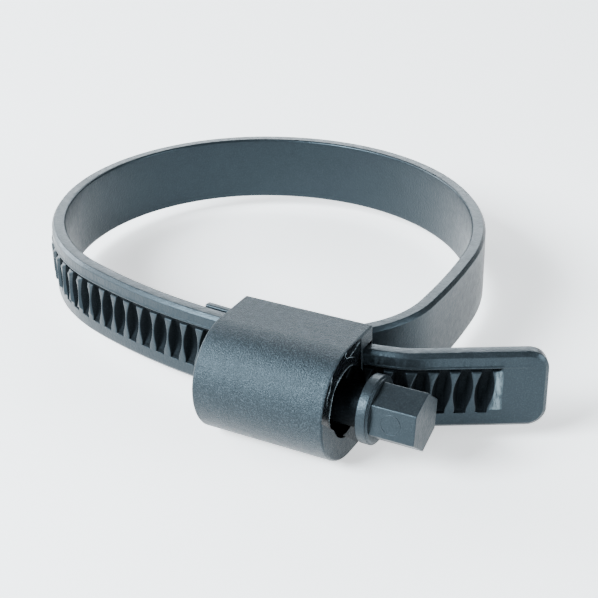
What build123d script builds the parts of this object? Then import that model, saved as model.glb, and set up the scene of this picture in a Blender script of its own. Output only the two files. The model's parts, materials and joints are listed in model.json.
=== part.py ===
from build123d import *

import os
from math import asin, atan, cos, degrees, pi, radians, sin, sqrt, tan

# Plastic worm-drive hose clamp, millimetres, +Z up.
# The hose runs along Z through the origin. The worm housing is at -Y, and the worm's axis is parallel to X
# with its hex head towards +X. The strap is one moulding with the housing on the real clamp. It is cut into
# nodes here where one stretch stays still, one flexes and one slides. The worm screw is a separate moulding.

# ---- driving dimensions ----
band_width = 12.7
band_thickness = 2.45

hose_r = 33.8           # inner radius of the left arc, which a hose lies against
back_r = 40.0           # inner radius of the arc at the back right
right_r = 135.5         # the right side is nearly straight
root_r = 17.0           # the band curls in to its root on the housing's back
strap_r = 108.0         # inner radius of the gentle arc that slides through the housing
left_arc_start = 115.9  # polar angles where one arc passes into the next
left_arc_end = 251.15
back_arc_start = 4.4
right_arc_start = -3.2

thread_pitch = 3.175
thread_r = 4.9
thread_tip = 0.7
thread_turns = 3.25
thread_start_gap = 1.6  # from the core's end to the middle of the thread's first turn
core_r = 3.1
thread_sink = 0.4       # how far the thread's section runs into the core
flank_angle = 28.0
mesh_clearance = 0.2
axis_to_strap = 3.4     # from the worm's axis to the strap's outer face
groove_phase = 0.4      # from the point of closest mesh to the nearest groove, along the strap

strap_grooves_left = 10  # grooves that slide with the tail, left and right of where the worm meshes
strap_grooves_right = 11
loop_grooves = 17        # grooves that go on round the flexible loop

housing_length = 21.8
housing_overhang = 4.0  # from the housing's left end to where the strap's arc is parallel to the worm
housing_height = 18.1
housing_back_y = -35.6
barrel_setback = 0.2    # the housing's half-round front is centred this far behind the worm's axis
end_wall = 2.0
slot_clearance = 0.3
bore_r = 5.4
dish_r = 9.9            # the mouth is dished from this radius down to the bore
dish_depth = 0.5
dish_back_y = -39.7
lip_offset = 4.75       # from the worm's axis to the edge of the flat lip left in the dish
lip_direction = 229.0   # degrees, from the axis to the middle of the lip

tongue_length = 7.0
tongue_thickness = 1.2
tongue_overrun = 1.0    # degrees, trimmed off flat against the housing

tail_bend_gap = 4.4     # from the housing's mouth to the start of the tail's bend
tail_bend_r = 12.0      # outer face
tail_bend = 17.0        # degrees
tail_run = 19.5         # straight stretch from the bend to the tip
pad_length = 6.7
pad_corner = 3.0

collar_r = 5.25
collar_thickness = 1.85
collar_gap = 3.3        # from the housing's mouth to the collar
collar_edge = 0.35
neck_r = 3.3
neck_inset = 1.85       # how far the neck reaches into the mouth
thrust_gap = 0.25
hex_across_flats = 7.94
hex_length = 7.0
hex_turn = 20.0         # degrees
hex_edge = 0.3


def polar(radius, angle):
    """The point at a polar angle, in degrees, on a circle about (0, 0)."""
    return Vector(radius * cos(radians(angle)), radius * sin(radians(angle)))


def next_centre(centre, radius, next_radius, angle):
    """Centre of the arc that takes over smoothly at a polar angle."""
    return centre + polar(radius - next_radius, angle)


# ---- places of the band's arcs ----
hose_centre = Vector(0, 0)
back_centre = next_centre(hose_centre, hose_r, back_r, left_arc_start)
right_centre = next_centre(back_centre, back_r, right_r, back_arc_start)
root_centre = next_centre(right_centre, right_r, root_r, right_arc_start)
strap_centre = next_centre(hose_centre, hose_r, strap_r, left_arc_end)

# ---- places of the worm and its housing ----
strap_face_r = strap_r + band_thickness
mesh_x = strap_centre.X
worm_y = strap_centre.Y - strap_face_r - axis_to_strap
housing_left = mesh_x - housing_overhang
housing_right = housing_left + housing_length
barrel_r = housing_height / 2
barrel_y = worm_y + barrel_setback

# ---- places along the strap, counted on its middle line from where it is parallel to the worm ----
half_thickness = band_thickness / 2
split_angle = 270 - degrees((strap_grooves_left + 0.5) * thread_pitch / (strap_r + half_thickness))
bend_angle = 270 + degrees(asin((housing_right + tail_bend_gap - mesh_x) / strap_face_r))
left_run = radians(270 - left_arc_end) * (strap_r + half_thickness)
arc_run = radians(bend_angle - 270) * (strap_r + half_thickness)
bend_run = radians(tail_bend) * (tail_bend_r - half_thickness)

bend_centre = strap_centre + polar(strap_face_r - tail_bend_r, bend_angle)
tail_normal_angle = bend_angle + tail_bend
tail_outward = polar(1, tail_normal_angle)
tail_forward = polar(1, tail_normal_angle + 90)
tail_start = bend_centre + tail_outward * tail_bend_r
pad_start = tail_start + tail_forward * (tail_run - pad_length)
tail_plane = Plane(origin=tail_start, x_dir=tail_forward, z_dir=tail_outward)


def groove_place(number):
    """Place of a groove's cutter: local x leaves the strap's face, local y runs along the strap."""
    run = number * thread_pitch + groove_phase
    if run < -left_run:
        angle = left_arc_end - degrees((-run - left_run) / (hose_r + half_thickness))
        spot = hose_centre + polar(hose_r + band_thickness + axis_to_strap, angle)
    elif run < arc_run:
        angle = 270 + degrees(run / (strap_r + half_thickness))
        spot = strap_centre + polar(strap_face_r + axis_to_strap, angle)
    elif run < arc_run + bend_run:
        angle = bend_angle + tail_bend * (run - arc_run) / bend_run
        spot = bend_centre + polar(tail_bend_r + axis_to_strap, angle)
    else:
        angle = tail_normal_angle
        spot = tail_start + tail_outward * axis_to_strap + tail_forward * (run - arc_run - bend_run)
    return Location((spot.X, spot.Y, 0), (0, 0, angle))


os.makedirs("parts", exist_ok=True)

# ---- groove cutter: one turn of the worm's thread with clearance, as a tilted disc with sloping flanks ----
lead_angle = atan(thread_pitch / (2 * pi * thread_r))
flank_slope = tan(radians(flank_angle))
cutter_r = thread_r + mesh_clearance
cutter_tip = thread_tip / 2 + mesh_clearance
cutter_root = cutter_tip + (cutter_r - core_r) * flank_slope
with BuildPart() as groove_cutter:
    with BuildSketch(Plane(origin=(0, 0, 0), x_dir=(1, 0, 0), z_dir=(0, sin(lead_angle), cos(lead_angle)))):
        with BuildLine():
            Polyline(
                (0, -cutter_root),
                (core_r, -cutter_root),
                (cutter_r, -cutter_tip),
                (cutter_r, cutter_tip),
                (core_r, cutter_root),
                (0, cutter_root),
                close=True,
            )
        make_face()
    revolve(axis=Axis((0, 0, 0), (0, cos(lead_angle), -sin(lead_angle))))

# ---- band loop: from the strap round the hose to the root at the housing's back ----
def root_end(radius):
    """Polar angle where an arc of this radius about the root's centre meets the housing's back."""
    return degrees(asin((housing_back_y - root_centre.Y) / radius))


with BuildPart() as band_loop:
    with BuildSketch():
        with BuildLine():
            for offset in (0, band_thickness):
                for radius, centre, start, end in (
                    (root_r, root_centre, root_end(root_r + offset), right_arc_start),
                    (right_r, right_centre, right_arc_start, back_arc_start),
                    (back_r, back_centre, back_arc_start, left_arc_start),
                    (hose_r, hose_centre, left_arc_start, left_arc_end),
                    (strap_r, strap_centre, left_arc_end, split_angle),
                ):
                    CenterArc(centre, radius + offset, start, end - start)
            Line(
                strap_centre + polar(strap_r, split_angle),
                strap_centre + polar(strap_face_r, split_angle),
            )
            Line(
                root_centre + polar(root_r, root_end(root_r)),
                root_centre + polar(root_r + band_thickness, root_end(root_r + band_thickness)),
            )
        make_face()
    extrude(amount=band_width / 2, both=True)
    with Locations([groove_place(-strap_grooves_left - 1 - number) for number in range(loop_grooves)]):
        add(groove_cutter.part, mode=Mode.SUBTRACT)

# ---- toothed strap: the stretch that slides through the housing, and the tail up to its pad ----
with BuildPart() as toothed_strap:
    with BuildSketch():
        with BuildLine():
            for radius in (strap_r, strap_face_r):
                CenterArc(strap_centre, radius, split_angle, bend_angle - split_angle)
            for radius in (tail_bend_r - band_thickness, tail_bend_r):
                CenterArc(bend_centre, radius, bend_angle, tail_bend)
            Polyline(
                tail_start,
                pad_start,
                pad_start - tail_outward * band_thickness,
                tail_start - tail_outward * band_thickness,
            )
            Line(
                strap_centre + polar(strap_r, split_angle),
                strap_centre + polar(strap_face_r, split_angle),
            )
        make_face()
    extrude(amount=band_width / 2, both=True)
    with Locations([groove_place(number) for number in range(-strap_grooves_left, strap_grooves_right + 1)]):
        add(groove_cutter.part, mode=Mode.SUBTRACT)

# ---- tail pad: the plain rounded end of the strap ----
with BuildPart() as tail_pad:
    with BuildSketch(tail_plane):
        with Locations((tail_run, 0)):
            Rectangle(pad_length, band_width, align=(Align.MAX, Align.CENTER))
        fillet(vertices().group_by(Axis.X)[-1], radius=pad_corner)
    extrude(amount=-band_thickness)

# ---- worm housing: flat-backed barrel with the worm's bore, its dished mouth and the strap's slot ----
bore_axis_plane = Plane.YZ.offset(housing_left + end_wall)
slot_inner_r = strap_r - slot_clearance
slot_outer_r = strap_face_r + slot_clearance
slot_height = band_width + 2 * slot_clearance
slot_reach = degrees(housing_length / slot_inner_r)

lip_middle = polar(lip_offset, lip_direction)
lip_normal = (0, -lip_middle.X, -lip_middle.Y)
with BuildPart() as dish:
    with Locations(Location((housing_right - dish_depth, worm_y, 0), (0, 90, 0))):
        Cone(bore_r, dish_r, dish_depth, align=(Align.CENTER, Align.CENTER, Align.MIN))
    split(bisect_by=Plane(origin=(0, dish_back_y, 0), z_dir=(0, -1, 0)), keep=Keep.TOP)
    split(bisect_by=Plane(origin=(0, worm_y + lip_middle.X, lip_middle.Y), z_dir=lip_normal), keep=Keep.TOP)

# Flat back, flat top and bottom and a half-round front, seen along the worm's axis.
with BuildSketch() as barrel_profile:
    with BuildLine():
        Polyline(
            (barrel_y, -barrel_r),
            (housing_back_y, -barrel_r),
            (housing_back_y, barrel_r),
            (barrel_y, barrel_r),
        )
        CenterArc((barrel_y, 0), barrel_r, 90, 180)
    make_face()

with BuildPart() as worm_housing:
    with BuildSketch(Plane.YZ.offset(housing_left)):
        add(barrel_profile.sketch)
    extrude(amount=housing_length)
    with BuildSketch(bore_axis_plane):
        with Locations((worm_y, 0)):
            Circle(bore_r)
    extrude(amount=housing_length, mode=Mode.SUBTRACT)
    add(dish.part, mode=Mode.SUBTRACT)
    with BuildSketch():
        with BuildLine():
            inner = CenterArc(strap_centre, slot_inner_r, 270 - slot_reach, 2 * slot_reach)
            outer = CenterArc(strap_centre, slot_outer_r, 270 - slot_reach, 2 * slot_reach)
            Line(inner @ 0, outer @ 0)
            Line(inner @ 1, outer @ 1)
        make_face()
    extrude(amount=slot_height / 2, both=True, mode=Mode.SUBTRACT)

# ---- bridge tongue: the thin lip behind the strap that keeps the hose off the slot ----
tongue_r = slot_inner_r - tongue_thickness
tongue_start = 270 - degrees(asin(housing_overhang / slot_inner_r)) + tongue_overrun
tongue_turn = -degrees(tongue_length / slot_inner_r) - tongue_overrun
with BuildPart() as bridge_tongue:
    with BuildSketch():
        with BuildLine():
            inner = CenterArc(strap_centre, tongue_r, tongue_start, tongue_turn)
            outer = CenterArc(strap_centre, slot_inner_r, tongue_start, tongue_turn)
            Line(inner @ 0, outer @ 0)
            Line(inner @ 1, outer @ 1)
        make_face()
    extrude(amount=band_width / 2, both=True)
    split(bisect_by=Plane(origin=(housing_left, 0, 0), z_dir=(-1, 0, 0)), keep=Keep.TOP)

# ---- worm screw: thread, core, neck, collar and hex head in one moulding ----
collar_x = housing_right + collar_gap
hex_x = collar_x + collar_thickness
core_x = housing_left + end_wall + thrust_gap
thread_x = core_x + thread_start_gap
thread_phase = 2 * pi * (thread_x - mesh_x - groove_phase) / thread_pitch
neck_x = housing_right - neck_inset
thread_root = thread_tip / 2 + (thread_r - core_r) * flank_slope
thread_base_r = core_r - thread_sink
thread_base = thread_root + (core_r - thread_base_r) * flank_slope
thread_plane = Plane(
    origin=(thread_x, worm_y, 0),
    x_dir=(0, cos(thread_phase), sin(thread_phase)),
    z_dir=(1, 0, 0),
)

with BuildPart() as worm_thread:
    with BuildLine():
        thread_path = Helix(thread_pitch, thread_turns * thread_pitch, thread_base_r)
    with BuildSketch(Plane.XZ):
        with BuildLine():
            Polyline(
                (thread_base_r, -thread_base),
                (thread_r, -thread_tip / 2),
                (thread_r, thread_tip / 2),
                (thread_base_r, thread_base),
                close=True,
            )
        make_face()
    sweep(path=thread_path, is_frenet=True)

with BuildPart() as worm_screw:
    with BuildSketch():
        with BuildLine():
            Polyline(
                (core_x, worm_y),
                (core_x, worm_y + core_r),
                (neck_x, worm_y + core_r),
                (neck_x, worm_y + neck_r),
                (collar_x, worm_y + neck_r),
                (collar_x, worm_y + collar_r - collar_edge),
                (collar_x + collar_edge, worm_y + collar_r),
                (hex_x - collar_edge, worm_y + collar_r),
                (hex_x, worm_y + collar_r - collar_edge),
                (hex_x, worm_y),
                close=True,
            )
        make_face()
    revolve(axis=Axis((0, worm_y, 0), (1, 0, 0)))
    with BuildSketch(Plane.YZ.offset(hex_x)):
        with Locations((worm_y, 0)):
            RegularPolygon(hex_across_flats / sqrt(3), 6, rotation=hex_turn)
    extrude(amount=hex_length)
    chamfer(faces().sort_by(Axis.X)[-1].edges(), length=hex_edge)
    add(thread_plane.location * worm_thread.part)

for name, piece in (
    ("worm_housing", worm_housing),
    ("bridge_tongue", bridge_tongue),
    ("band_loop", band_loop),
    ("toothed_strap", toothed_strap),
    ("tail_pad", tail_pad),
    ("worm_screw", worm_screw),
):
    piece.part.label = name
    export_step(piece.part, f"parts/{name}.step")
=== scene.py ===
import json
from math import asin, cos, pi, radians, sin, sqrt, tan

import bmesh
import bpy
import numpy as np
from mathutils import Matrix, Vector


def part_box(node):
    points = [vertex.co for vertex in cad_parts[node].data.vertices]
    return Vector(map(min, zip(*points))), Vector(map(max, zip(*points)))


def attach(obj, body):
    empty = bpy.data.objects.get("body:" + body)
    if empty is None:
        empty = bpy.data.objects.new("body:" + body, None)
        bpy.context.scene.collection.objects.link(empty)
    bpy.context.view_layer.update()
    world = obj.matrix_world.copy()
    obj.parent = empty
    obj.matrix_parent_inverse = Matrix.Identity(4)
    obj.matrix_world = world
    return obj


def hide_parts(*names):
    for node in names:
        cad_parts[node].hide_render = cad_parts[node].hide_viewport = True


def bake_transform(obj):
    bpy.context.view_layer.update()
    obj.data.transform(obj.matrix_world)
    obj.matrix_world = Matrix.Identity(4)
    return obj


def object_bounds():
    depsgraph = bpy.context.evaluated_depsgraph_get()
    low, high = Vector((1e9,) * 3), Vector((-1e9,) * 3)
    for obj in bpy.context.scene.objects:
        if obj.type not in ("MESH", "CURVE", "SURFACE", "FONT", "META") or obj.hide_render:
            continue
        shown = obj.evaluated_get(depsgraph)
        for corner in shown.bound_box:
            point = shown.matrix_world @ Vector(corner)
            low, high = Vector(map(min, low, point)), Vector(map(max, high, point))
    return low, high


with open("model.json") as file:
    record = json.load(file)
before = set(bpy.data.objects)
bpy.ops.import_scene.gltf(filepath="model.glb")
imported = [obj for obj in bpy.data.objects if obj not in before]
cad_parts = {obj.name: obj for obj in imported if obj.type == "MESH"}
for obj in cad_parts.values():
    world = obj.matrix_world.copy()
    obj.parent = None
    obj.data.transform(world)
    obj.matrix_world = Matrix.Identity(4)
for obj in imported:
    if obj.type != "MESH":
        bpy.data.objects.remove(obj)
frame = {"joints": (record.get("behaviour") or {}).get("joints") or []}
cad_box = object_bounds()

# Plastic worm-drive hose clamp. Shapes are worked out in millimetres and turned to metres
# as each mesh is made.
MM = 0.001

# ---- sizes of the part, as packed ----
WIDTH = 12.7
THICK = 2.45
HALF_W, HALF_T = WIDTH / 2, THICK / 2
HOSE_R, BACK_R, RIGHT_R, ROOT_R, STRAP_R = 33.8, 40.0, 135.5, 17.0, 108.0
LEFT_ARC_START, LEFT_ARC_END = radians(115.9), radians(251.15)
BACK_ARC_START, RIGHT_ARC_START = radians(4.4), radians(-3.2)
FACE_R = STRAP_R + THICK

PITCH = 3.175
THREAD_R, THREAD_TIP, THREAD_TURNS, THREAD_GAP = 4.9, 0.7, 3.25, 1.6
CORE_R, NECK_R = 3.1, 3.3
FLANK = tan(radians(28))
CLEAR = 0.2
AXIS_TO_STRAP = 3.4
PHASE = 0.4
GROOVES_LEFT, GROOVES_RIGHT, LOOP_GROOVES = 10, 11, 17

END_WALL, SLOT_CLEAR, BORE_R = 2.0, 0.3, 5.4
DISH_R, DISH_DEPTH, DISH_BACK_Y = 9.9, 0.5, -39.7
LIP_OFFSET, LIP_ANGLE, NECK_INSET = 4.75, radians(229), 1.85
TONGUE_LENGTH, TONGUE_THICK = 7.0, 1.2
TAIL_GAP, TAIL_R, TAIL_TURN, TAIL_RUN = 4.4, 12.0, radians(17), 19.5
PAD_LENGTH, PAD_CORNER = 6.7, 3.0
COLLAR_R, COLLAR_THICK, COLLAR_GAP = 5.25, 1.85, 3.3
HEX_AF, HEX_TURN = 7.94, radians(20)

# ---- places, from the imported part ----
joints = {j["name"]: j for j in frame["joints"]}
strap_centre = np.array(joints["strap_draw"]["pos_m"][:2]) / MM
worm_y = joints["worm_turn"]["pos_m"][1] / MM
housing_low, housing_high = (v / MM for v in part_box("worm_housing"))
housing_left, housing_right, housing_back = housing_low.x, housing_high.x, housing_high.y
barrel_r = housing_high.z
barrel_y = housing_low.y + barrel_r
hex_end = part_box("worm_screw")[1].x / MM
collar_x = housing_right + COLLAR_GAP
hex_x = collar_x + COLLAR_THICK
mesh_x = strap_centre[0]


def polar(r, a):
    """A point at radius r and angle a."""
    return np.array([r * cos(a), r * sin(a)])


# ---- the band's middle line, as arcs in order of run ----
# run is 0 where the strap is parallel to the worm. The root runs on a little into the housing's back.
ROOT_RUN_IN = 2.6
back_centre = polar(HOSE_R - BACK_R, LEFT_ARC_START)
right_centre = back_centre + polar(BACK_R - RIGHT_R, BACK_ARC_START)
bend_angle = 1.5 * pi + asin((housing_right + TAIL_GAP - mesh_x) / FACE_R)
bend_centre = strap_centre + polar(FACE_R - TAIL_R, bend_angle)
tail_angle = bend_angle + TAIL_TURN
root_centre = right_centre + polar(RIGHT_R - ROOT_R, RIGHT_ARC_START)
root_angle = asin((housing_back - root_centre[1]) / ROOT_R) - ROOT_RUN_IN / ROOT_R

run_left = -(1.5 * pi - LEFT_ARC_END) * (STRAP_R + HALF_T)
run_hose = run_left - (LEFT_ARC_END - LEFT_ARC_START) * (HOSE_R + HALF_T)
run_back = run_hose - (LEFT_ARC_START - BACK_ARC_START) * (BACK_R + HALF_T)
run_right = run_back - (BACK_ARC_START - RIGHT_ARC_START) * (RIGHT_R + HALF_T)
run_root = run_right - (RIGHT_ARC_START - root_angle) * (ROOT_R + HALF_T)
run_bend = (bend_angle - 1.5 * pi) * (STRAP_R + HALF_T)
run_tail = run_bend + TAIL_TURN * (TAIL_R - HALF_T)
run_pad = run_tail + TAIL_RUN - PAD_LENGTH
run_tip = run_tail + TAIL_RUN
ARCS = (
    (run_root, run_right, root_centre, ROOT_R, root_angle),
    (run_right, run_back, right_centre, RIGHT_R, RIGHT_ARC_START),
    (run_back, run_hose, back_centre, BACK_R, BACK_ARC_START),
    (run_hose, run_left, np.zeros(2), HOSE_R, LEFT_ARC_START),
    (run_left, run_bend, strap_centre, STRAP_R, LEFT_ARC_END),
    (run_bend, run_tail, bend_centre, TAIL_R - THICK, bend_angle),
)
tail_out, tail_forward = polar(1, tail_angle), polar(1, tail_angle + pi / 2)
tail_start = bend_centre + tail_out * (TAIL_R - THICK)


def on_path(run, n, z):
    """Points at a run along the band's middle line, n outward from its inner face, at height z."""
    run, n, z = np.broadcast_arrays(*(np.asarray(v, float) for v in (run, n, z)))
    out = np.zeros(run.shape + (3,))
    out[..., 2] = z
    for k, (low, high, centre, r, start) in enumerate(ARCS):
        here = (run < high) if k == 0 else (run >= low) & (run < high)
        a = start + (run[here] - low) / (r + HALF_T)
        out[here, 0] = centre[0] + (r + n[here]) * np.cos(a)
        out[here, 1] = centre[1] + (r + n[here]) * np.sin(a)
    here = run >= run_tail
    out[here, :2] = tail_start + np.outer(n[here], tail_out) + np.outer(run[here] - run_tail, tail_forward)
    return out


def smooth(v, low, high):
    """A smooth step, from 0 at low to 1 at high."""
    t = np.clip((np.asarray(v, float) - low) / (high - low), 0, 1)
    return t * t * (3 - 2 * t)


# ---- mesh helpers ----
def link(name, data):
    """An object in the scene, of a mesh, lamp or camera."""
    obj = bpy.data.objects.new(name, data)
    bpy.context.scene.collection.objects.link(obj)
    return obj


def make(name, verts, faces, flat=(), attributes=None):
    """A mesh object from points in millimetres. Edges of the faces numbered in flat are sharp."""
    mesh = bpy.data.meshes.new(name)
    mesh.from_pydata((np.asarray(verts, float) * MM).tolist(), [], faces)
    for key, values in (attributes or {}).items():
        attribute = mesh.attributes.new(key, "FLOAT", "POINT")
        attribute.data.foreach_set("value", np.asarray(values, np.float32))
    bm = bmesh.new()
    bm.from_mesh(mesh)
    bm.faces.ensure_lookup_table()
    for f in flat:
        for e in bm.faces[f].edges:
            e.smooth = False
    bmesh.ops.remove_doubles(bm, verts=bm.verts, dist=0.002 * MM)
    bmesh.ops.dissolve_degenerate(bm, edges=bm.edges, dist=0.001 * MM)
    bmesh.ops.recalc_face_normals(bm, faces=bm.faces)
    for f in bm.faces:
        f.smooth = True
    bm.to_mesh(mesh)
    bm.free()
    return link(name, mesh)


def tube(rings, caps=(True, True)):
    """Faces of a tube through rings, an array of shape (rings, points, 3), and its caps' numbers."""
    count, size = len(rings), len(rings[0])
    faces = [
        (i * size + j, i * size + (j + 1) % size, (i + 1) * size + (j + 1) % size, (i + 1) * size + j)
        for i in range(count - 1)
        for j in range(size)
    ]
    flat = []
    for k, cap in enumerate(caps):
        if cap:
            start = k * (count - 1) * size
            flat.append(len(faces))
            faces.append(tuple(range(start, start + size)))
    return faces, flat


def join(parts):
    """Joins (vertices, faces, flat) tuples into one."""
    verts, faces, flat = [], [], []
    for v, f, s in parts:
        start, first = len(verts), len(faces)
        verts.extend(np.asarray(v, float).reshape(-1, 3).tolist())
        faces.extend(tuple(i + start for i in face) for face in f)
        flat.extend(i + first for i in s)
    return verts, faces, flat


# ---- the band's section: distance in from the nearer edge, and n outward from the inner face ----
BEVEL_N, BEVEL_Z, INNER_ROUND = 0.5, 0.65, 0.45
OUTER_Z = (0, 0.6, 1.2, 1.8, 2.3, 2.7, 3.05, 3.16, 3.22, 3.30, 3.50, 3.64, 3.74, 3.80, 3.86, 3.98)
OUTER_Z += (4.12, 4.25, 4.35, 5.62)
# Beside the teeth the outer face drops into a narrow slit, and then stands up in a bead.
RAIL_Z = (3.05, 3.16, 3.22, 3.30, 3.74, 3.80, 3.86, 3.98, 4.12, 4.25, 4.35)
RAIL_N = (0.0, -0.04, -0.2, -0.5, -0.5, -0.2, 0.05, 0.13, 0.13, 0.05, 0.0)
half_section = [(HALF_W - z, THICK, True) for z in OUTER_Z]
half_section += [
    (BEVEL_Z - 0.03, THICK - 0.02, False),
    (BEVEL_Z - 0.10, THICK - 0.07, False),
    (0.07, THICK - BEVEL_N + 0.05, False),
    (0.015, THICK - BEVEL_N - 0.02, False),
    (0.0, THICK - BEVEL_N - 0.12, False),
    (0.0, 1.1, False),
]
half_section += [
    (INNER_ROUND * (1 - cos(a)), INNER_ROUND * (1 - sin(a)), False) for a in np.linspace(0, pi / 2, 6)
]
half_section += [(d, 0.0, False) for d in (1.5, 3.0, 4.7, HALF_W)]
SECTION = [(d, n, outer, 1) for d, n, outer in half_section] + [
    (d, n, outer, -1) for d, n, outer in reversed(half_section[1:-1])
]
sec_in = np.array([s[0] for s in SECTION])
sec_n = np.array([s[1] for s in SECTION])
sec_outer = np.array([s[2] for s in SECTION])
sec_side = np.array([s[3] for s in SECTION])
sec_z = sec_side * (HALF_W - sec_in)

LEAD = PITCH / (2 * pi * THREAD_R)
CUT_R = THREAD_R + CLEAR
CUT_TIP = THREAD_TIP / 2 + CLEAR
GROOVE_Z = sqrt(CUT_R**2 - AXIS_TO_STRAP**2)
run_seam = (-GROOVES_LEFT - 0.5) * PITCH + PHASE
run_last = (GROOVES_RIGHT + 0.5) * PITCH + PHASE
run_first = (-GROOVES_LEFT - LOOP_GROOVES - 0.5) * PITCH + PHASE

# The grooves end in a steep little wall instead of running out to nothing.
END_WALL_IN, END_DEPTH, END_REACH, END_TAPER = 0.1, 0.45, 0.88, 0.4
# The crests on the loop stand proud of the rails, and come level with them before the seam.
CREST_PROUD, CREST_FADE = 0.4, 8
# Lengths over which the slit and bead fade in before the first groove and out after the last one.
FADE_IN, SLIT_FADE_OUT, BEAD_FADE_OUT = 5, 1.2, 2
BEAD_LEFT = 0.3  # share of the bead that goes on past the teeth
LEAN_FADE_IN = 6
# How fast the painted shade of a groove deepens with its depth, and the painted shade given to the slit.
SHADE_PER_MM, SLIT_SHADE = 6, 0.8


def groove_columns(number):
    """(run, depth) of each column of points across one groove, for every point of the section.

    The columns go from the middle of the crest over its rounded edge, down the flank and along the floor.
    """
    z = np.clip(np.abs(sec_z), 0, GROOVE_Z)
    floor = np.maximum(np.sqrt(CUT_R**2 - z**2) - AXIS_TO_STRAP, 0)
    floor = np.where(z < GROOVE_Z - END_WALL_IN, np.maximum(floor, END_DEPTH), floor)

    def reach(depth):
        below_tip = np.maximum(CUT_R - np.sqrt((AXIS_TO_STRAP + depth) ** 2 + z**2), 0)
        flank = CUT_TIP + below_tip * FLANK
        return np.where(floor > 0, np.maximum(flank, END_REACH - END_TAPER * depth), flank)

    edge = reach(0)
    crest = PITCH / 2 - edge
    half = [
        (np.full_like(z, PITCH / 2), 0 * z),
        (edge + np.minimum(0.16, 0.7 * crest), 0 * z),
        (edge + np.minimum(0.06, 0.3 * crest), np.minimum(0.02, floor)),
        (reach(0.09) + 0.015, np.minimum(0.09, floor)),
        (reach(0.35 * floor), 0.35 * floor),
        (reach(0.7 * floor), 0.7 * floor),
        (reach(np.maximum(floor - 0.05, 0)), np.maximum(floor - 0.05, 0)),
        (np.full_like(z, CUT_TIP - 0.1), floor),
        (0 * z, floor),
    ]
    middle = number * PITCH + PHASE
    return [(middle - u, d) for u, d in half] + [(middle + u, d) for u, d in reversed(half[1:-1])]


def toothed_share(run):
    """1 along the teeth and 0 away from them."""
    return smooth(run, run_first - FADE_IN, run_first) * (1 - smooth(run, run_last, run_last + SLIT_FADE_OUT))


def strap_rings(columns):
    """Rings of points for columns of (run, depth). The teeth lean with the thread, and the rail fades away
    from them."""
    rings = []
    for run, depth in columns:
        run = run + 0 * sec_z
        toothed = toothed_share(run)
        past_teeth = smooth(run, run_last, run_last + BEAD_FADE_OUT)
        bead = smooth(run, run_first - FADE_IN, run_first) * (1 - (1 - BEAD_LEFT) * past_teeth)
        rail = np.interp(sec_z, RAIL_Z, RAIL_N, left=0, right=0)
        rail = np.where(rail < 0, rail * toothed, rail * bead) * sec_outer
        depth = depth * sec_outer
        on_crest = np.abs(sec_z) < RAIL_Z[0]
        proud = CREST_PROUD * toothed * (1 - smooth(run, run_seam - CREST_FADE, run_seam)) * on_crest
        n = sec_n + np.where(depth > 0, np.minimum(rail, -depth), rail + proud * sec_outer)
        lean = smooth(run, run_first - LEAN_FADE_IN, run_first) * (1 - smooth(run, run_last, run_pad))
        rings.append(on_path(run + sec_z * LEAD * lean, n, sec_z))
    return rings


def hollow_shade_of(columns):
    """How deep each point lies in a groove or slit, 0 to 1, for the painted shade and gloss in the plastic."""
    deep = np.stack([depth * sec_outer for run, depth in columns])
    slit = np.interp(sec_z, RAIL_Z, np.clip(-np.array(RAIL_N) * 2, 0, 1), left=0, right=0) * sec_outer
    runs = np.stack([run + 0 * sec_z for run, depth in columns])
    return np.clip(np.maximum(deep * SHADE_PER_MM, SLIT_SHADE * slit * toothed_share(runs)), 0, 1).ravel()


def plain_column(run):
    """A column of points with no groove."""
    return (np.full_like(sec_z, run), 0 * sec_z)


# ---- band loop ----
PLAIN_RINGS = 120
ROOT_SINK = 0.3
columns = [plain_column(run) for run in np.linspace(run_root, run_first, PLAIN_RINGS)[:-1]]
for number in range(-GROOVES_LEFT - LOOP_GROOVES, -GROOVES_LEFT):
    columns += groove_columns(number)
columns.append(plain_column(run_seam))
rings = np.array(strap_rings(columns))
# The root's end is flat, just inside the housing's back wall.
in_wall = (rings[..., 0] > housing_left) & (rings[..., 1] < housing_back - ROOT_SINK)
rings[in_wall, 1] = housing_back - ROOT_SINK
faces, flat = tube(rings)
# Its hollow attribute carries the painted shade of the grooves and slits.
band_obj = make("band_loop_moulding", rings.reshape(-1, 3), faces, flat, {"hollow": hollow_shade_of(columns)})

# ---- toothed strap with its tail and pad ----
columns = []
for number in range(-GROOVES_LEFT, GROOVES_RIGHT + 1):
    columns += groove_columns(number)
columns += [plain_column(run) for run in np.linspace(run_last, run_pad, 5)]
rings = strap_rings(columns)

# The pad's rows follow its rounded outline: along the top or bottom edge, round the corner, and half
# way across the end. What is left of the bead fades out on it.
PAD_BEAD_START, PAD_BEAD_END = 3, 1
corner_in = np.maximum(sec_in, PAD_CORNER)
pad_stations = []
for t in np.linspace(0, 1, 9)[1:]:
    run = run_pad + t * (run_tip - corner_in - run_pad)
    pad_stations.append((run, HALF_W - sec_in))
for a in np.linspace(0, pi / 2, 10)[1:]:
    r = np.maximum(PAD_CORNER - sec_in, 0)
    pad_stations.append((run_tip - corner_in + r * sin(a), HALF_W - corner_in + r * cos(a)))
for t in np.linspace(0, 1, 9)[1:]:
    pad_stations.append((run_tip - sec_in, (HALF_W - corner_in) * (1 - t)))
for run, z in pad_stations:
    z = z * sec_side
    bead = BEAD_LEFT * (1 - smooth(run, run_pad + PAD_BEAD_START, run_tip - PAD_BEAD_END))
    rail = np.maximum(np.interp(z, RAIL_Z, RAIL_N, left=0, right=0), 0) * sec_outer * bead
    rings.append(on_path(run, sec_n + rail, z))
rings = np.array(rings)
faces, flat = tube(rings, (True, False))
runs = np.concatenate(
    [np.stack([run + 0 * sec_z for run, depth in columns]), np.stack([run for run, z in pad_stations])]
)
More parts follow.
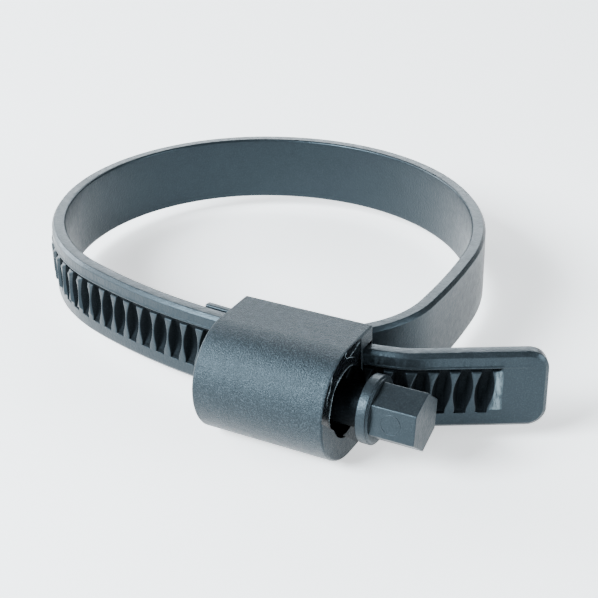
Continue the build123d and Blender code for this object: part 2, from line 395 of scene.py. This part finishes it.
# The last crest is scuffed: where the rubbed band starts and ends, past the last groove, and half its width.
SCUFF_START, SCUFF_END, SCUFF_HALF = (-0.25, 0.05), (0.75, 1.05), 3.3
scuff = (
    smooth(runs, run_last + SCUFF_START[0], run_last + SCUFF_START[1])
    * (1 - smooth(runs, run_last + SCUFF_END[0], run_last + SCUFF_END[1]))
    * (np.abs(sec_z) < SCUFF_HALF)
    * sec_outer
)
# The hollow attribute carries the painted shade of the grooves and slits.
hollow = np.concatenate([hollow_shade_of(columns), np.zeros(len(pad_stations) * len(SECTION))])
attributes = {"scuff": scuff.ravel(), "hollow": hollow}
strap_obj = make("toothed_strap_moulding", rings.reshape(-1, 3), faces, flat, attributes)

# ---- bridge tongue ----
slot_inner = STRAP_R - SLOT_CLEAR
tongue_start = 1.5 * pi - asin((mesh_x - housing_left) / slot_inner)
tongue_end = tongue_start - TONGUE_LENGTH / slot_inner
EDGE_R, TIP_ROUND, TONGUE_RUN_IN = 0.3, 0.35, 0.004
outline = []
for cn, cz, quarter in (
    (TONGUE_THICK - EDGE_R, HALF_W - EDGE_R, 0),
    (EDGE_R, HALF_W - EDGE_R, 1),
    (EDGE_R, -HALF_W + EDGE_R, 2),
    (TONGUE_THICK - EDGE_R, -HALF_W + EDGE_R, 3),
):
    for a in np.linspace(quarter * pi / 2, (quarter + 1) * pi / 2, 5):
        outline.append((cn + EDGE_R * cos(a), cz + EDGE_R * sin(a)))
# (angle, how far the outline has shrunk): from just inside the housing to the rounded tip.
stations = [(tongue_start + TONGUE_RUN_IN, 0.0)]
for t in np.linspace(0, pi / 2, 6):
    stations.append((tongue_end + TIP_ROUND * (1 - sin(t)) / slot_inner, TIP_ROUND * (1 - cos(t))))
rings = []
for a, shrink in stations:
    ring = []
    for n, z in outline:
        n = TONGUE_THICK / 2 + (n - TONGUE_THICK / 2) * (1 - 2 * shrink / TONGUE_THICK)
        z = z * (1 - shrink / HALF_W)
        p = strap_centre + polar(slot_inner - TONGUE_THICK + n, a)
        ring.append((p[0], p[1], z))
    rings.append(ring)
rings = np.array(rings)
tongue_obj = make("bridge_tongue_moulding", rings.reshape(-1, 3), *tube(rings))


# ---- worm housing: a barrel with rounded edges, cut by closed cutters ----
def lathe(profile, y, segments=128, phase=0.0):
    """A closed solid turned about the axis parallel to X at y, with no flat faces to mark.

    profile holds (x, radius) points, and its first and last radius is 0.
    """
    angles = np.arange(segments) * 2 * pi / segments + phase
    verts = [(profile[0][0], y, 0)]
    for x, r in profile[1:-1]:
        verts += [(x, y + r * cos(a), r * sin(a)) for a in angles]
    verts.append((profile[-1][0], y, 0))
    last = len(verts) - 1
    faces = [(0, 1 + (j + 1) % segments, 1 + j) for j in range(segments)]
    for i in range(len(profile) - 3):
        a, b = 1 + i * segments, 1 + (i + 1) * segments
        faces += [(a + j, a + (j + 1) % segments, b + (j + 1) % segments, b + j) for j in range(segments)]
    a = 1 + (len(profile) - 3) * segments
    faces += [(a + j, a + (j + 1) % segments, last) for j in range(segments)]
    return verts, faces, []


def rounded(points):
    """Profile (x, radius) points from (x, radius, rounding) corners."""
    out = []
    for k, (x, r, rounding) in enumerate(points):
        if not rounding:
            out.append((x, r))
            continue
        p = Vector((x, r))
        a = (Vector(points[k - 1][:2]) - p).normalized()
        b = (Vector(points[k + 1][:2]) - p).normalized()
        for t in np.linspace(0, 1, 6):
            q = p + a * rounding * (1 - t) ** 2 + b * rounding * t**2
            out.append((q.x, q.y))
    return out


BACK_CORNER, BACK_CORNER_MIN, END_ROUND = 0.45, 0.05, 0.4


def barrel_ring(inset):
    """(y, z) points of the barrel's outline, drawn in by inset."""
    r = max(BACK_CORNER - inset, BACK_CORNER_MIN)
    back, top = housing_back - inset, barrel_r - inset
    ring = [(barrel_y + top * cos(a), top * sin(a)) for a in np.linspace(pi / 2, 1.5 * pi, 97)]
    ring += [(back - r + r * cos(a), -top + r + r * sin(a)) for a in np.linspace(-pi / 2, 0, 6)]
    ring += [(back - r + r * cos(a), top - r + r * sin(a)) for a in np.linspace(0, pi / 2, 6)]
    return ring


steps = [(END_ROUND * (1 - cos(a)), END_ROUND * (1 - sin(a))) for a in np.linspace(0, pi / 2, 6)]
layers = [(housing_left + x, inset) for x, inset in steps]
layers += [(housing_right - x, inset) for x, inset in reversed(steps)]
barrel_rings = np.array([[(x, y, z) for y, z in barrel_ring(inset)] for x, inset in layers])
housing_obj = make("worm_housing_moulding", barrel_rings.reshape(-1, 3), tube(barrel_rings)[0])


def halved(obj, point, normal):
    """The convex closed mesh, cut down to its part behind a plane."""
    bm = bmesh.new()
    bm.from_mesh(obj.data)
    bmesh.ops.bisect_plane(
        bm,
        geom=bm.verts[:] + bm.edges[:] + bm.faces[:],
        plane_co=Vector(point) * MM,
        plane_no=Vector(normal),
        clear_outer=True,
    )
    bmesh.ops.holes_fill(bm, edges=[e for e in bm.edges if e.is_boundary])
    bmesh.ops.recalc_face_normals(bm, faces=bm.faces)
    bm.to_mesh(obj.data)
    bm.free()
    return obj


def combine(obj, other, operation):
    """Cuts the other mesh out of obj, or joins it on, and removes the other."""
    m = obj.modifiers.new("combine", "BOOLEAN")
    m.operation, m.solver, m.object = operation, "EXACT", other
    graph = bpy.context.evaluated_depsgraph_get()
    mesh = bpy.data.meshes.new_from_object(obj.evaluated_get(graph))
    obj.modifiers.clear()
    obj.data = mesh
    bpy.data.objects.remove(other)


# The hollow is the bore and its dished mouth, without the flat lip left at the mouth's lower front. The
# dish's cone starts inside the bore, and the cutters end beyond the mouth. The bore is turned a little,
# so that none of its points coincides with one of the dish's.
BEYOND, DISH_FOOT, BORE_PHASE = 1.0, 0.6, 0.011
bore_left = housing_left + END_WALL
dish_slope = (DISH_R - BORE_R) / DISH_DEPTH
dish_left = housing_right - DISH_DEPTH - DISH_FOOT / dish_slope
dish = lathe(
    [
        (dish_left, 0),
        (dish_left, BORE_R - DISH_FOOT),
        (housing_right + BEYOND, DISH_R + BEYOND * dish_slope),
        (housing_right + BEYOND, 0),
    ],
    worm_y,
)
lip_away = polar(1, LIP_ANGLE)
hollow = halved(make("hollow", *dish), (0, DISH_BACK_Y, 0), (0, 1, 0))
hollow = halved(hollow, (0, worm_y + LIP_OFFSET * lip_away[0], LIP_OFFSET * lip_away[1]), (0, *lip_away))
bore_right = housing_right + BEYOND / 2
bore = [(bore_left, 0), (bore_left, BORE_R), (bore_right, BORE_R), (bore_right, 0)]
combine(hollow, make("bore", *lathe(bore, worm_y, phase=BORE_PHASE)), "UNION")
combine(housing_obj, hollow, "DIFFERENCE")
SLOT_HALF_TURN = 0.26
slot_outer, slot_z = FACE_R + SLOT_CLEAR, HALF_W + SLOT_CLEAR
slot_rings = []
for a in np.linspace(-SLOT_HALF_TURN, SLOT_HALF_TURN, 49):
    ring = []
    for r, z in ((slot_inner, -slot_z), (slot_outer, -slot_z), (slot_outer, slot_z), (slot_inner, slot_z)):
        p = strap_centre + polar(r, 1.5 * pi + a)
        ring.append((p[0], p[1], z))
    slot_rings.append(ring)
slot_rings = np.array(slot_rings)
combine(housing_obj, make("slot", slot_rings.reshape(-1, 3), tube(slot_rings)[0]), "DIFFERENCE")

# Thin lines of moulding flash stand along the bore's rim and wander across the dish. Each line has
# (degrees, radius) points and a height.
FLASH_LINES = (
    ([(66, 5.5), (80, 5.55), (95, 5.5), (120, 5.55), (150, 5.5), (175, 5.5), (196, 5.55)], 0.13),
    ([(126, 8.8), (130, 8.3), (138, 7.7), (147, 7.8), (156, 7.2)], 0.07),
    ([(94, 8.8), (97, 8.3), (92, 7.5), (80, 7.0), (70, 6.8)], 0.07),
    ([(66, 9.1), (70, 8.6), (74, 8.0), (84, 7.3)], 0.08),
)
RINGS_PER_POINT = 24
FLASH_FOOT, FLASH_TIP, FLASH_SINK, FLASH_MIN = 0.06, 0.03, 0.08, 0.02
WANDER, WANDER_RATE = 0.05, 2.7
HEIGHT_MEAN, HEIGHT_WAVE, HEIGHT_RATE, HEIGHT_NOISE = 0.7, 0.5, 3.1, 0.25
rng = np.random.default_rng(7)
flash_parts = []
for line, tall in FLASH_LINES:
    line = np.array(line, float)
    count = RINGS_PER_POINT * len(line)
    along = np.linspace(0, len(line) - 1, count)
    angle = np.radians(np.interp(along, range(len(line)), line[:, 0]))
    radius = np.interp(along, range(len(line)), line[:, 1]) + WANDER * np.sin(WANDER_RATE * along)
    flash_rings = []
    for k in range(count):
        fade = max(0, sin(pi * k / (count - 1))) ** 0.5
        share = HEIGHT_MEAN + HEIGHT_WAVE * sin(HEIGHT_RATE * along[k]) + HEIGHT_NOISE * rng.standard_normal()
        height = max(FLASH_MIN, tall * share) * fade
        a, foot_x = angle[k], housing_right - DISH_DEPTH + (radius[k] - BORE_R) / dish_slope
        ring = []
        for du, dv in (
            (-FLASH_FOOT, -FLASH_SINK),
            (FLASH_FOOT, -FLASH_SINK),
            (FLASH_TIP, height),
            (-FLASH_TIP, height),
        ):
            ring.append((foot_x + dv, worm_y + (radius[k] + du) * cos(a), (radius[k] + du) * sin(a)))
        flash_rings.append(ring)
    flash_rings = np.array(flash_rings)
    flash_parts.append((flash_rings.reshape(-1, 3), *tube(flash_rings)))
flash_obj = make("mouth_flash", *join(flash_parts))

# The housing's cut edges are rounded.
SAME_PLANE, SHARP, CUT_EDGE_R = radians(0.3), radians(32), 0.12
bm = bmesh.new()
bm.from_mesh(housing_obj.data)
bmesh.ops.remove_doubles(bm, verts=bm.verts, dist=0.005 * MM)
bmesh.ops.dissolve_limit(bm, angle_limit=SAME_PLANE, verts=bm.verts, edges=bm.edges)
sharp = [e for e in bm.edges if e.is_manifold and e.calc_face_angle(0) > SHARP]
rounding = {"offset_type": "OFFSET", "profile": 0.5, "affect": "EDGES"}
bmesh.ops.bevel(bm, geom=sharp, offset=CUT_EDGE_R * MM, segments=2, clamp_overlap=True, **rounding)
bmesh.ops.recalc_face_normals(bm, faces=bm.faces)
for f in bm.faces:
    f.smooth = True
bm.to_mesh(housing_obj.data)
bm.free()

# ---- worm screw ----
THRUST_GAP, THREAD_SINK, THREAD_RUN_OUT = 0.25, 0.3, 0.8
HEX_SINK, HEX_EDGE_R = 0.6, 0.16
core_x = bore_left + THRUST_GAP
neck_x = housing_right - NECK_INSET
step_r, step_x = 4.85, hex_x - 0.3
worm_profile = rounded(
    [
        (core_x, 0, 0),
        (core_x, CORE_R, 0.25),
        (neck_x, CORE_R, 0),
        (neck_x + 0.1, NECK_R, 0),
        (collar_x - 0.3, NECK_R, 0),
        (collar_x, NECK_R + 0.3, 0),
        (collar_x, COLLAR_R, 0.25),
        (step_x, COLLAR_R, 0.12),
        (step_x, step_r + 0.12, 0.06),
        (step_x + 0.1, step_r, 0.06),
        (hex_x, step_r, 0.15),
        (hex_x, 0, 0),
    ]
)
parts = [lathe(worm_profile, worm_y, 160)]
thread_x = core_x + THREAD_GAP
phase = 2 * pi * (thread_x - mesh_x - PHASE) / PITCH
base_r = CORE_R - THREAD_SINK
root_half = THREAD_TIP / 2 + (THREAD_R - CORE_R) * FLANK
thread_rings = []
for a in np.linspace(0, 2 * pi * THREAD_TURNS, 261):
    # The thread rises out of the core at its start and sinks back at its end.
    grow = min(1, a / THREAD_RUN_OUT, (2 * pi * THREAD_TURNS - a) / THREAD_RUN_OUT)
    top = base_r + (THREAD_R - base_r) * max(grow, 0.02) ** 0.5
    half = root_half * (0.4 + 0.6 * grow)
    x, turn = thread_x + PITCH * a / (2 * pi), phase + a
    tip = THREAD_TIP / 2 * (0.5 + 0.5 * grow)
    ring = []
    for dx, r in (
        (-half - 0.15, base_r),
        (-half, CORE_R),
        (-tip - 0.06, top - 0.1),
        (-tip + 0.05, top),
        (tip - 0.05, top),
        (tip + 0.06, top - 0.1),
        (half, CORE_R),
        (half + 0.15, base_r),
    ):
        ring.append((x + dx, worm_y + r * cos(turn), r * sin(turn)))
    thread_rings.append(ring)
thread_rings = np.array(thread_rings)
parts.append((thread_rings.reshape(-1, 3), *tube(thread_rings)))
worm_obj = make("worm_screw_moulding", *join(parts))

hex_bm = bmesh.new()
corners = [polar(HEX_AF / sqrt(3) * MM, HEX_TURN + k * pi / 3) for k in range(6)]
foot, tip = (
    [hex_bm.verts.new((x * MM, worm_y * MM + y, z)) for y, z in corners] for x in (hex_x - HEX_SINK, hex_end)
)
hex_bm.faces.new(foot[::-1])
hex_bm.faces.new(tip)
for k in range(6):
    hex_bm.faces.new((foot[k], foot[(k + 1) % 6], tip[(k + 1) % 6], tip[k]))
bmesh.ops.bevel(hex_bm, geom=hex_bm.edges[:], offset=HEX_EDGE_R * MM, segments=3, **rounding)
bmesh.ops.recalc_face_normals(hex_bm, faces=hex_bm.faces)
hex_mesh = bpy.data.meshes.new("hex_head")
hex_bm.to_mesh(hex_mesh)
hex_bm.free()
for p in hex_mesh.polygons:
    p.use_smooth = True
hex_obj = link("hex_head", hex_mesh)

# A plain raised ring on one flat of the hex, as moulded parts have round an ejector or cavity mark:
# (radius, height) points of its section.
RING_SECTION = ((1.62, -0.05), (1.58, 0.03), (1.5, 0.045), (1.42, 0.03), (1.38, -0.05))
RING_SHIFT = 0.3
flat_angle = HEX_TURN + 5 * pi / 6
flat_out = Vector((0, cos(flat_angle), sin(flat_angle)))
flat_side = Vector((0, -sin(flat_angle), cos(flat_angle)))
mark_centre = Vector(((hex_x + hex_end) / 2 - RING_SHIFT, worm_y, 0)) + flat_out * HEX_AF / 2
mark_rings = []
for a in np.linspace(0, 2 * pi, 49)[:-1]:
    ring = []
    for r, h in RING_SECTION:
        p = mark_centre + Vector((1, 0, 0)) * r * cos(a) + flat_side * r * sin(a) + flat_out * h
        ring.append(tuple(p))
    mark_rings.append(ring)
mark_rings = np.array(mark_rings + [mark_rings[0]])
mark_obj = make("hex_ring_mark", mark_rings.reshape(-1, 3), tube(mark_rings, (False, False))[0])


# ---- materials ----
STRAP_BASE = (0.0075, 0.0098, 0.0115)
HOUSING_BASE = (0.005, 0.0066, 0.0078)
WORM_BASE = (0.0085, 0.0108, 0.0125)
# Near-black colour of grooves, slits, bore and neck: painted shade.
HOLLOW_SHADE_BASE = (0.002, 0.0025, 0.003)
# The flash lines' light grey: a painted highlight on real ridges.
FLASH_HIGHLIGHT_BASE = (0.10, 0.12, 0.13)
SCUFF_BASE = (0.12, 0.16, 0.18)
SHEEN_LEVEL, HOLLOW_SHEEN = 0.34, 0.08
SHEEN_TINT = (0.60, 0.84, 1.0)
REFRACTION = 1.49
MOTTLE, MOTTLE_SIZE = 0.12, 260
# Size and share of the light specks that stand in for glints off the grain: painted glints.
GLINT_SPECK_SIZE, GLINT_SPECK_SHARE = 5000, 0.5
WAVE_HEIGHT, WAVE_SIZE = 0.03, 330
RUBBED_SIZE, GLOSS_SIZE, STREAK_SIZE = 700, 900, 1300
RUBBED_MATT, SCUFFED_MATT, HOLLOW_MATT = 0.1, 0.15, 0.3


def plastic(
    name, base, roughness, grain, grain_size, scuffs=False, paint_hollow_shade=False, sheen=SHEEN_LEVEL, sparkle=4
):
    """Moulded plastic: a fine grain, faint flow mottling in colour and gloss, painted glint specks, and a few
    rubbed spots.

    grain is the grain's height in millimetres, and sparkle how much brighter its painted glint specks are than
    the base.
    """
    material = bpy.data.materials.new(name)
    material.use_nodes = True
    tree = material.node_tree
    nodes, links = tree.nodes, tree.links
    shader = nodes["Principled BSDF"]
    shader.inputs["Specular IOR Level"].default_value = sheen
    shader.inputs["Specular Tint"].default_value = (*SHEEN_TINT, 1)
    shader.inputs["IOR"].default_value = REFRACTION
    place = nodes.new("ShaderNodeTexCoord").outputs["Object"]

    def noise(scale, detail=3.0, rough=0.55, stretch=None):
        n = nodes.new("ShaderNodeTexNoise")
        n.inputs["Scale"].default_value = scale
        n.inputs["Detail"].default_value = detail
        n.inputs["Roughness"].default_value = rough
        source = place
        if stretch:
            m = nodes.new("ShaderNodeMapping")
            m.inputs["Scale"].default_value = stretch
            links.new(place, m.inputs["Vector"])
            source = m.outputs["Vector"]
        links.new(source, n.inputs["Vector"])
        return n.outputs["Fac"]

    def ramp(fac, stops):
        r = nodes.new("ShaderNodeValToRGB")
        for element, (position, colour) in zip(r.color_ramp.elements, (stops[0], stops[-1])):
            element.position, element.color = position, (*colour, 1)
        for position, colour in stops[1:-1]:
            r.color_ramp.elements.new(position).color = (*colour, 1)
        links.new(fac, r.inputs["Fac"])
        return r.outputs["Color"]

    def mapped(fac, low, high, to_low, to_high):
        m = nodes.new("ShaderNodeMapRange")
        for key, value in zip(("From Min", "From Max", "To Min", "To Max"), (low, high, to_low, to_high)):
            m.inputs[key].default_value = value
        links.new(fac, m.inputs["Value"])
        return m.outputs["Result"]

    def combined(operation, a, b):
        m = nodes.new("ShaderNodeMath")
        m.operation = operation
        for socket, value in zip(m.inputs, (a, b)):
            if isinstance(value, (int, float)):
                socket.default_value = value
            else:
                links.new(value, socket)
        return m.outputs["Value"]

    def mixed(fac, a, b):
        # Sockets 6 and 7 are the two colours, and output 2 is the mixed one.
        m = nodes.new("ShaderNodeMix")
        m.data_type = "RGBA"
        links.new(fac, m.inputs[0])
        for socket, value in zip((m.inputs[6], m.inputs[7]), (a, b)):
            if isinstance(value, tuple):
                socket.default_value = (*value, 1)
            else:
                links.new(value, socket)
        return m.outputs[2]

    def attribute(key):
        a = nodes.new("ShaderNodeAttribute")
        a.attribute_name = key
        return a.outputs["Fac"]

    def bump(height, distance):
        b = nodes.new("ShaderNodeBump")
        b.inputs["Strength"].default_value = 1.0
        b.inputs["Distance"].default_value = distance * MM
        links.new(height, b.inputs["Height"])
        return b

    dark = tuple(c * (1 - MOTTLE) for c in base)
    light = tuple(c * (1 + MOTTLE) for c in base)
    colour = ramp(noise(MOTTLE_SIZE, 4.0), [(0.3, dark), (0.5, base), (0.72, light)])
    # Light specks in the colour stand in for glints off the grain: a painted glint.
    painted_glint = ramp(noise(GLINT_SPECK_SIZE, 1.0), [(0.5, (0, 0, 0)), (0.68, (1, 1, 1))])
    colour = mixed(combined("MULTIPLY", painted_glint, GLINT_SPECK_SHARE), colour, tuple(min(1, c * sparkle) for c in base))
    rubbed = mapped(noise(RUBBED_SIZE, 5.0, 0.7), 0.66, 0.78, 0, 1)
    gloss = mapped(noise(GLOSS_SIZE, 3.0), 0.3, 0.7, roughness - 0.05, roughness + 0.06)
    gloss = combined("ADD", gloss, combined("MULTIPLY", rubbed, RUBBED_MATT))
    if scuffs:
        streaks = mapped(noise(STREAK_SIZE, 4.0, 0.75, (1, 1, 0.3)), 0.4, 0.6, 0.1, 1.0)
        worn = combined("MULTIPLY", attribute("scuff"), streaks)
        colour = mixed(worn, colour, SCUFF_BASE)
        gloss = combined("ADD", gloss, combined("MULTIPLY", worn, SCUFFED_MATT))
    # Deep in grooves and slits the colour is painted darker, a painted shade, and the gloss is made rougher.
    if paint_hollow_shade:
        deep = attribute("hollow")
        colour = mixed(deep, colour, HOLLOW_SHADE_BASE)
        gloss = combined("ADD", gloss, combined("MULTIPLY", deep, HOLLOW_MATT))
    links.new(colour, shader.inputs["Base Color"])
    links.new(gloss, shader.inputs["Roughness"])
    # A long shallow wave lies under the fine grain.
    fine = bump(noise(grain_size, 2.0, 0.6), grain)
    wave = bump(noise(WAVE_SIZE, 2.0), WAVE_HEIGHT)
    links.new(wave.outputs["Normal"], fine.inputs["Normal"])
    links.new(fine.outputs["Normal"], shader.inputs["Normal"])
    return material


strap_look = plastic(
    "strap_satin_plastic", STRAP_BASE, 0.34, 0.05, 2600, scuffs=True, paint_hollow_shade=True, sparkle=2.5
)
band_look = plastic("band_satin_plastic", STRAP_BASE, 0.34, 0.045, 2600, paint_hollow_shade=True, sparkle=1.8)
housing_look = plastic("housing_grained_plastic", HOUSING_BASE, 0.40, 0.10, 5600, sparkle=9)
worm_look = plastic("worm_satin_plastic", WORM_BASE, 0.40, 0.05, 2600, sparkle=2.5)
# The bore, dish and slot are coloured near black, a painted shade, and kept glossy.
shaded_bore_look = plastic("polished_bore_shaded_plastic", HOLLOW_SHADE_BASE, 0.26, 0.03, 1500, sheen=0.3)
# The worm's neck and core, inside the housing, are coloured near black: painted shade.
shaded_neck_look = plastic("shaded_thread_plastic", HOLLOW_SHADE_BASE, 0.5, 0.02, 2600, sheen=HOLLOW_SHEEN)
# The groove material's near-black colour is painted shade.
shaded_groove_look = plastic("shaded_groove_plastic", HOLLOW_SHADE_BASE, 0.64, 0.045, 2600, sheen=HOLLOW_SHEEN)
# The flash ridges are real; their colour, far lighter than the housing, is a painted highlight.
flash_highlight_look = plastic("moulding_flash_highlight_plastic", FLASH_HIGHLIGHT_BASE, 0.3, 0.012, 1500, sheen=0.5)

NEAR = 0.06  # how far outside a hollow's ideal surface a face may lie and still belong to it
IN_HOLLOW = 0.5  # mean hollow value from which a face counts as inside a groove or slit


def repaint(obj, look, chosen):
    """Gives a second material to the faces whose centre, in millimetres, is chosen."""
    obj.data.materials.append(look)
    for f in obj.data.polygons:
        if chosen(*(f.center / MM)):
            f.material_index = 1


def repaint_shaded_hollows(obj, look):
    """Gives a second, near-black material, a painted shade, to the faces that lie in the grooves and slits."""
    obj.data.materials.append(look)
    depth = obj.data.attributes["hollow"].data
    for f in obj.data.polygons:
        if sum(depth[v].value for v in f.vertices) / len(f.vertices) > IN_HOLLOW:
            f.material_index = 1


def in_housing(x, y, z):
    """Inside the bore, the dish or the strap's slot, where the housing is coloured near black as painted shade.
    """
    if x >= housing_right - NEAR / 2:
        return False
    from_axis = sqrt((y - worm_y) ** 2 + z**2)
    from_strap = sqrt((x - strap_centre[0]) ** 2 + (y - strap_centre[1]) ** 2)
    widening = max(0, x - (housing_right - DISH_DEPTH)) * dish_slope
    bored = bore_left - NEAR < x and from_axis < BORE_R + NEAR + widening
    slotted = slot_inner - NEAR < from_strap < slot_outer + NEAR and abs(z) < slot_z + NEAR
    return bored or slotted


for obj, look, body, nodes_replaced, slot in (
    (housing_obj, housing_look, "housing", ("worm_housing",), "housing_plastic"),
    (tongue_obj, band_look, "housing", ("bridge_tongue",), "strap_plastic"),
    (flash_obj, flash_highlight_look, "housing", (), "housing_plastic"),
    (strap_obj, strap_look, "strap", ("toothed_strap", "tail_pad"), "strap_plastic"),
    (worm_obj, worm_look, "worm", ("worm_screw",), "worm_plastic"),
    (hex_obj, worm_look, "worm", (), "worm_plastic"),
    (mark_obj, worm_look, "worm", (), "worm_plastic"),
    (band_obj, band_look, None, ("band_loop",), "strap_plastic"),
):
    obj.data.materials.append(look)
    if obj is housing_obj:
        # Bore, dish and slot faces take the painted-shade material.
        repaint(obj, shaded_bore_look, in_housing)
    if obj is worm_obj:
        # Everything left of the collar takes the painted-shade material.
        repaint(obj, shaded_neck_look, lambda x, y, z: x < collar_x)
    # Faces deep in grooves and slits take the painted-shade material.
    if obj in (strap_obj, band_obj):
        repaint_shaded_hollows(obj, shaded_groove_look)
    normals = obj.modifiers.new("normals", "WEIGHTED_NORMAL")
    normals.keep_sharp = True
    if body:
        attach(obj, body)
    else:
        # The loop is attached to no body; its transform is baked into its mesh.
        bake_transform(obj)
    if nodes_replaced:
        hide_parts(*nodes_replaced)

# ---- floor, light and camera ----
FLOOR_REACH = 3.0
floor_z = cad_box[0].z
corner_signs = ((-1, -1), (1, -1), (1, 1), (-1, 1))
floor_corners = [(x * FLOOR_REACH, y * FLOOR_REACH, floor_z) for x, y in corner_signs]
floor_mesh = bpy.data.meshes.new("floor")
floor_mesh.from_pydata(floor_corners, [], [(0, 1, 2, 3)])
floor = link("floor", floor_mesh)
paper = bpy.data.materials.new("white_paper")
paper.use_nodes = True
paper_inputs = paper.node_tree.nodes["Principled BSDF"].inputs
paper_inputs["Base Color"].default_value = (0.93, 0.94, 0.94, 1)
paper_inputs["Roughness"].default_value = 0.9
paper_inputs["Specular IOR Level"].default_value = 0.1
paper_inputs["Emission Color"].default_value = (0.97, 0.99, 1.0, 1)
paper_inputs["Emission Strength"].default_value = 0.9
floor_mesh.materials.append(paper)

world = bpy.data.worlds.new("studio")
bpy.context.scene.world = world
world.use_nodes = True
world_inputs = world.node_tree.nodes["Background"].inputs
world_inputs["Color"].default_value = (0.96, 0.98, 1.0, 1)
world_inputs["Strength"].default_value = 0.22

LIT_POINT = Vector((0.005, -0.01, 0.0))
COOL = (0.88, 0.95, 1.0)


def softbox(name, place, size, power):
    """A rectangular lamp aimed at the part."""
    light = bpy.data.lights.new(name, "AREA")
    light.shape, light.size, light.size_y = "RECTANGLE", size[0], size[1]
    light.energy, light.color = power, COOL
    obj = link(name, light)
    obj.location = place
    obj.rotation_euler = (LIT_POINT - Vector(place)).to_track_quat("-Z", "Y").to_euler()


softbox("front_top", (-0.33, -0.55, 0.43), (0.40, 0.32), 26.0)
softbox("back_wall", (-0.30, 0.72, 0.36), (1.1, 0.26), 9.5)
softbox("left_side", (-0.75, 0.0, 0.22), (0.4, 0.3), 9.0)
softbox("right_side", (0.75, 0.05, 0.25), (0.4, 0.3), 6.0)

AZIMUTH, ELEVATION, ROLL = radians(28.8), radians(27.75), radians(-1.24)
DISTANCE, SENSOR, LENS = 0.2236, 36, 77.5926
SHIFT_RIGHT, SHIFT_UP = -1.11, -3.0
CLIP_START, CLIP_END = 0.01, 50
look_at = Vector((17.64, -12.06, 0)) * MM
right = Vector((cos(AZIMUTH), sin(AZIMUTH), 0))
away = Vector((-sin(AZIMUTH) * cos(ELEVATION), cos(AZIMUTH) * cos(ELEVATION), -sin(ELEVATION)))
up = right.cross(away)
look_at += right * SHIFT_RIGHT * MM + up * SHIFT_UP * MM
turned_right = right * cos(ROLL) + up * sin(ROLL)
turned_up = up * cos(ROLL) - right * sin(ROLL)
camera_data = bpy.data.cameras.new("camera")
camera_data.sensor_width, camera_data.lens = SENSOR, LENS
camera_data.clip_start, camera_data.clip_end = CLIP_START, CLIP_END
camera = link("camera", camera_data)
turn = Matrix((turned_right, turned_up, -away)).transposed().to_4x4()
camera.matrix_world = Matrix.Translation(look_at - away * DISTANCE) @ turn
bpy.context.scene.camera = camera
